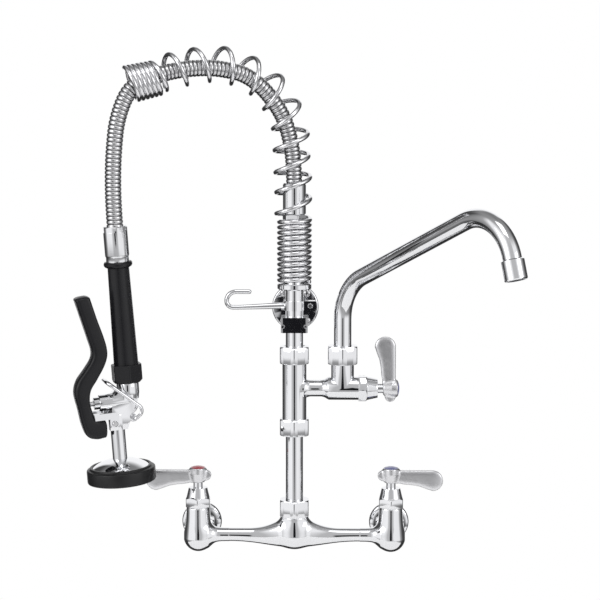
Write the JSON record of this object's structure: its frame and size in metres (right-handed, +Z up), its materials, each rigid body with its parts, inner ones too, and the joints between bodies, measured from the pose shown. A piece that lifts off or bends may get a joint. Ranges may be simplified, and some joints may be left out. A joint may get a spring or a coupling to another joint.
{
  "type": "pre rinse faucet",
  "caption": "Wall-mounted mixing faucet with a sprung overhead hose, a squeeze-lever spray valve, a swing spout with its own lever valve, a wall bracket and a finger hook.",
  "frame": {"origin": "on the wall plane, midway between the two inlets, at the height of their axes", "axes": "+Z up, -Y out of the wall towards the user, +X to the right with the cold side"},
  "size_m": [0.446, 0.2877, 0.5324],
  "materials": {
    "cast_chrome": "polished chrome plate on cast brass",
    "tube_chrome": "polished chrome plate on drawn tube",
    "nut_chrome": "polished chrome plate on machined brass",
    "handle_chrome": "bright chrome plate on die-cast zinc",
    "spring_wire": "plated spring wire",
    "hose_steel": "wound stainless strip",
    "screw_steel": "turned stainless",
    "brass": "machined, unplated",
    "grip_black": "moulded, satin",
    "rubber_black": "moulded, satin",
    "seal_rubber": "moulded",
    "fibre": "pressed fibre",
    "ceramic": "lapped ceramic",
    "index_red": "moulded",
    "index_blue": "moulded",
    "insert_plastic": "moulded"
  },
  "bodies": {
    "frame": {"mixing_body": "cast_chrome", "inlet_hot": "cast_chrome", "inlet_cold": "cast_chrome", "union_nuts": "nut_chrome", "union_washers": "fibre", "tee_body": "cast_chrome", "bonnet_hot": "nut_chrome", "bonnet_cold": "nut_chrome", "bonnet_spout": "nut_chrome", "fixed_discs": "ceramic", "seat_seals": "seal_rubber", "riser_pipe": "tube_chrome", "upper_riser": "tube_chrome", "riser_nuts": "nut_chrome", "riser_seals": "fibre", "spout_nut": "nut_chrome", "wall_disc": "cast_chrome", "wall_screws": "screw_steel", "clamp_back": "cast_chrome", "clamp_front": "cast_chrome", "clamp_screws": "screw_steel", "finger_hook": "cast_chrome", "hook_screw": "screw_steel", "spring_collar": "cast_chrome"},
    "hot_valve": {"turning_disc_hot": "ceramic", "stem_hot": "nut_chrome", "handle_hot": "handle_chrome", "handle_screw_hot": "screw_steel", "index_hot": "index_red"},
    "cold_valve": {"turning_disc_cold": "ceramic", "stem_cold": "nut_chrome", "handle_cold": "handle_chrome", "handle_screw_cold": "screw_steel", "index_cold": "index_blue"},
    "spout_valve": {"turning_disc_spout": "ceramic", "stem_spout": "nut_chrome", "handle_spout": "handle_chrome", "handle_screw_spout": "screw_steel", "index_spout": "index_blue"},
    "spout": {"spout_tube": "tube_chrome", "spout_o_rings": "seal_rubber", "aerator_shell": "tube_chrome", "aerator_insert": "insert_plastic"},
    "gooseneck": {"overhead_spring": "spring_wire", "hose_coupling": "nut_chrome", "spray_hose": "hose_steel", "hose_ferrule": "nut_chrome", "grip_core": "brass", "grip": "grip_black", "grip_nut": "grip_black", "spray_body": "cast_chrome", "plunger_spring": "spring_wire", "spray_dome": "tube_chrome", "spray_plate": "screw_steel", "bumper": "rubber_black", "lever_pins": "screw_steel"},
    "lever": {"spray_lever": "grip_black", "lever_yoke": "nut_chrome"},
    "plunger_body": {"plunger": "screw_steel"},
    "ring": {"hold_ring": "spring_wire"}
  },
  "joints": [
    {"name": "hot_handle_turn", "type": "hinge", "parent": "frame", "child": "hot_valve", "pos_m": [-0.1016, -0.06, 0.05], "axis": [0, 0, 1], "range_deg": [0, 90]},
    {"name": "cold_handle_turn", "type": "hinge", "parent": "frame", "child": "cold_valve", "pos_m": [0.1016, -0.06, 0.05], "axis": [0, 0, -1], "range_deg": [0, 90]},
    {"name": "spout_handle_turn", "type": "hinge", "parent": "frame", "child": "spout_valve", "pos_m": [0.08, -0.06, 0.1569], "axis": [1, 0, 0], "range_deg": [0, 90]},
    {"name": "spout_swing", "type": "hinge", "parent": "frame", "child": "spout", "pos_m": [0.0503, -0.06, 0.19], "axis": [0, 0, 1], "range_deg": [-80, 51]},
    {"name": "gooseneck_swing", "type": "hinge", "parent": "frame", "child": "gooseneck", "pos_m": [0, -0.06, 0.335], "axis": [0, 0, 1], "range_deg": [0, 100]},
    {"name": "lever_squeeze", "type": "hinge", "parent": "gooseneck", "child": "lever", "pos_m": [-0.18362, -0.11966, 0.13164], "axis": [-0.309, 0.9511, 0], "range_deg": [0, 5], "stiffness_Nm_per_rad": 2, "springref_deg": -11.46},
    {"name": "plunger_slide", "type": "slide", "parent": "gooseneck", "child": "plunger_body", "axis": [0.9487, 0.3083, 0.0698], "range_m": [0, 0.002]},
    {"name": "hold_ring_flip", "type": "hinge", "parent": "gooseneck", "child": "ring", "pos_m": [-0.16453, -0.11346, 0.13565], "axis": [0.309, -0.9511, 0], "range_deg": [0, 12]}
  ],
  "couplings": [
    {"joint": "plunger_slide", "follows": "lever_squeeze", "m_per_rad": 0.0225}
  ]
}
